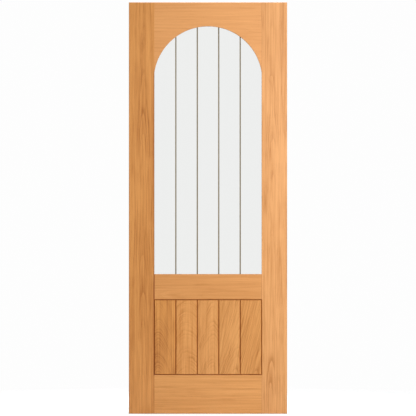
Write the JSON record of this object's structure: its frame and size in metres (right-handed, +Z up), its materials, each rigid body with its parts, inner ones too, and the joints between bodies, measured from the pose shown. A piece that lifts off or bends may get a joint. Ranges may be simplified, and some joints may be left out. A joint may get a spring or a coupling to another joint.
{
  "type": "glazed door leaf",
  "caption": "Framed oak door leaf with an arched glazed light, V-cut lines in the glass and a panel of upright V-jointed boards below.",
  "frame": {"origin": "centre of the leaf's bottom edge, halfway through its thickness", "axes": "+Z up along the height, X along the width with the left stile at -X seen from the front, +Y from the front face to the back face"},
  "size_m": [0.762, 0.035, 1.981],
  "materials": {
    "oak_frame": "satin lacquered oak",
    "oak_boards": "satin lacquered oak",
    "oak_beads": "satin lacquered oak",
    "beech_dowel": "plain planed beech",
    "clear_glass": "clear float glass with satin V cuts",
    "glazing_tape": "matt foam tape",
    "setting_block": "matt plastic",
    "steel_brad": "bright steel"
  },
  "bodies": {
    "root": {"back_tape": "glazing_tape", "bead_brads": "steel_brad", "board_1": "oak_boards", "board_2": "oak_boards", "board_3": "oak_boards", "board_4": "oak_boards", "board_5": "oak_boards", "bottom_bead": "oak_beads", "bottom_rail": "oak_frame", "bottom_rail_dowel_left_1": "beech_dowel", "bottom_rail_dowel_left_2": "beech_dowel", "bottom_rail_dowel_left_3": "beech_dowel", "bottom_rail_dowel_right_1": "beech_dowel", "bottom_rail_dowel_right_2": "beech_dowel", "bottom_rail_dowel_right_3": "beech_dowel", "front_tape": "glazing_tape", "glass_pane": "clear_glass", "left_arch_bead": "oak_beads", "left_bead": "oak_beads", "left_lower_block": "setting_block", "left_setting_block": "setting_block", "left_stile": "oak_frame", "left_upper_block": "setting_block", "mid_rail": "oak_frame", "mid_rail_dowel_left_1": "beech_dowel", "mid_rail_dowel_left_2": "beech_dowel", "mid_rail_dowel_right_1": "beech_dowel", "mid_rail_dowel_right_2": "beech_dowel", "right_arch_bead": "oak_beads", "right_bead": "oak_beads", "right_lower_block": "setting_block", "right_setting_block": "setting_block", "right_stile": "oak_frame", "right_upper_block": "setting_block", "top_rail": "oak_frame", "top_rail_dowel_left_1": "beech_dowel", "top_rail_dowel_left_2": "beech_dowel", "top_rail_dowel_right_1": "beech_dowel", "top_rail_dowel_right_2": "beech_dowel"}
  },
  "joints": []
}
